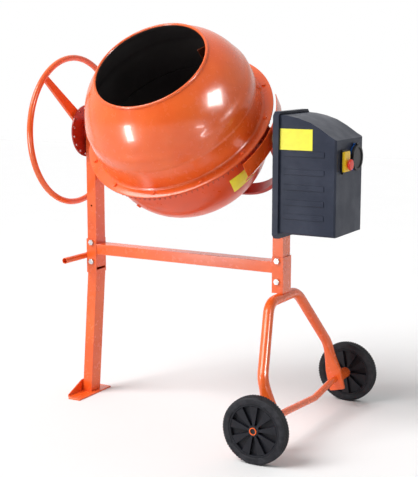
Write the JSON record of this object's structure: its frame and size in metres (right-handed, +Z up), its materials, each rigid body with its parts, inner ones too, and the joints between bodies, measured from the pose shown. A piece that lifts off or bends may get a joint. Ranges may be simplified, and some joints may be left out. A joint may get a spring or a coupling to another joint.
{
  "type": "concrete mixer",
  "caption": "Tilting-drum concrete mixer: steel drum with ring gear on a tube frame, side handwheel, covered motor drive and road wheels.",
  "frame": {"origin": "on the floor, below the middle of the bounding box", "axes": "+Z up, +X along the tilt axis from the handwheel to the motor housing, -Y the side the drum mouth leans to"},
  "size_m": [1.027, 0.72, 1.2491],
  "materials": {
    "orange_paint": "gloss",
    "gear_casting": "worn, greasy",
    "blade_paint": "worn gloss",
    "zinc_hardware": "zinc plated",
    "bare_steel": "machined",
    "sintered_bronze": "satin",
    "slate_housing": "fine texture",
    "black_plastic": "fine texture",
    "wheel_plastic": "fine texture",
    "wheel_rubber": "matt",
    "belt_rubber": "matt",
    "motor_alloy": "cast",
    "plate_yellow": "printed film",
    "switch_yellow": "gloss",
    "button_red": "gloss",
    "button_green": "gloss",
    "inlet_blue": "gloss"
  },
  "bodies": {
    "frame": {"left_leg": "orange_paint", "left_foot": "orange_paint", "left_upper_post": "orange_paint", "left_sleeve": "orange_paint", "right_upper_post": "orange_paint", "right_sleeve": "orange_paint", "cross_beam": "orange_paint", "frame_bolts": "zinc_hardware", "frame_nuts": "zinc_hardware", "transport_handle": "orange_paint", "wheel_frame": "orange_paint", "axle": "orange_paint", "axle_washers": "black_plastic", "axle_pins": "zinc_hardware", "left_bearing": "sintered_bronze", "right_bearing": "sintered_bronze", "locking_disc": "orange_paint", "disc_screws": "zinc_hardware", "drive_belt": "belt_rubber", "motor_casing": "motor_alloy", "motor_cradle": "bare_steel", "housing_base": "slate_housing", "housing_bolts": "zinc_hardware", "housing_cover": "slate_housing", "cover_screws": "zinc_hardware", "rating_plate": "plate_yellow", "switch_base": "black_plastic", "inlet_body": "inlet_blue"},
    "near_wheel": {"near_wheel_rim": "wheel_plastic", "near_wheel_tyre": "wheel_rubber"},
    "far_wheel": {"far_wheel_rim": "wheel_plastic", "far_wheel_tyre": "wheel_rubber"},
    "yoke": {"yoke_arm": "orange_paint", "left_journal": "bare_steel", "right_journal": "bare_steel", "drum_bearings": "bare_steel", "pinion_guard": "orange_paint", "handwheel_nut": "zinc_hardware", "handwheel_spring": "bare_steel"},
    "handwheel_body": {"handwheel": "orange_paint"},
    "drum": {"drum_spindle": "bare_steel", "spindle_nut": "zinc_hardware", "spindle_bolts": "zinc_hardware", "lower_bowl": "orange_paint", "upper_drum": "orange_paint", "ring_gear": "gear_casting", "flange_bolts": "orange_paint", "mixing_blade_a": "blade_paint", "mixing_blade_b": "blade_paint", "blade_bolts": "orange_paint"},
    "pinion_set": {"pinion": "gear_casting", "pinion_shaft": "bare_steel", "drive_pulley": "black_plastic", "pulley_nut": "zinc_hardware"},
    "motor_rotor_set": {"motor_rotor": "bare_steel", "motor_pulley": "bare_steel"},
    "flap": {"switch_flap": "switch_yellow"},
    "stop": {"stop_button": "button_red"},
    "start": {"start_button": "button_green"},
    "lid": {"inlet_lid": "black_plastic"}
  },
  "joints": [
    {"name": "yoke_tilt", "type": "hinge", "parent": "frame", "child": "yoke", "pos_m": [-0.0728, 0, 0.902], "axis": [1, 0, 0], "range_deg": [-178, 92]},
    {"name": "handwheel_pull", "type": "slide", "parent": "yoke", "child": "handwheel_body", "axis": [-1, 0, 0], "range_m": [0, 0.012], "stiffness_N_per_m": 1500, "springref_m": -0.01},
    {"name": "drum_spin", "type": "hinge", "parent": "yoke", "child": "drum", "pos_m": [-0.0728, 0, 0.902], "axis": [0, -0.6794, 0.7337], "continuous": true},
    {"name": "pinion_spin", "type": "hinge", "parent": "yoke", "child": "pinion_set", "pos_m": [0.2132, 0, 0.902], "axis": [1, 0, 0], "continuous": true},
    {"name": "motor_spin", "type": "hinge", "parent": "frame", "child": "motor_rotor_set", "pos_m": [0.33, 0, 0.762], "axis": [1, 0, 0], "continuous": true},
    {"name": "near_wheel_spin", "type": "hinge", "parent": "frame", "child": "near_wheel", "pos_m": [0.3599, -0.341, 0.1], "axis": [0, 1, 0], "continuous": true},
    {"name": "far_wheel_spin", "type": "hinge", "parent": "frame", "child": "far_wheel", "pos_m": [0.3599, 0.341, 0.1], "axis": [0, 1, 0], "continuous": true},
    {"name": "switch_flap_hinge", "type": "hinge", "parent": "frame", "child": "flap", "pos_m": [0.4978, -0.0445, 0.872], "axis": [0, -1, 0], "range_deg": [0, 100]},
    {"name": "stop_press", "type": "slide", "parent": "flap", "child": "stop", "axis": [-1, 0, 0], "range_m": [0, 0.004], "stiffness_N_per_m": 400, "springref_m": -0.002},
    {"name": "start_press", "type": "slide", "parent": "frame", "child": "start", "axis": [-1, 0, 0], "range_m": [0, 0.002], "stiffness_N_per_m": 400, "springref_m": -0.002},
    {"name": "inlet_lid_hinge", "type": "hinge", "parent": "frame", "child": "lid", "pos_m": [0.4978, 0.039, 0.892], "axis": [0, -1, 0], "range_deg": [0, 110]}
  ],
  "couplings": [
    {"joint": "pinion_spin", "follows": "drum_spin", "ratio": -9},
    {"joint": "motor_spin", "follows": "drum_spin", "ratio": -46.5}
  ]
}
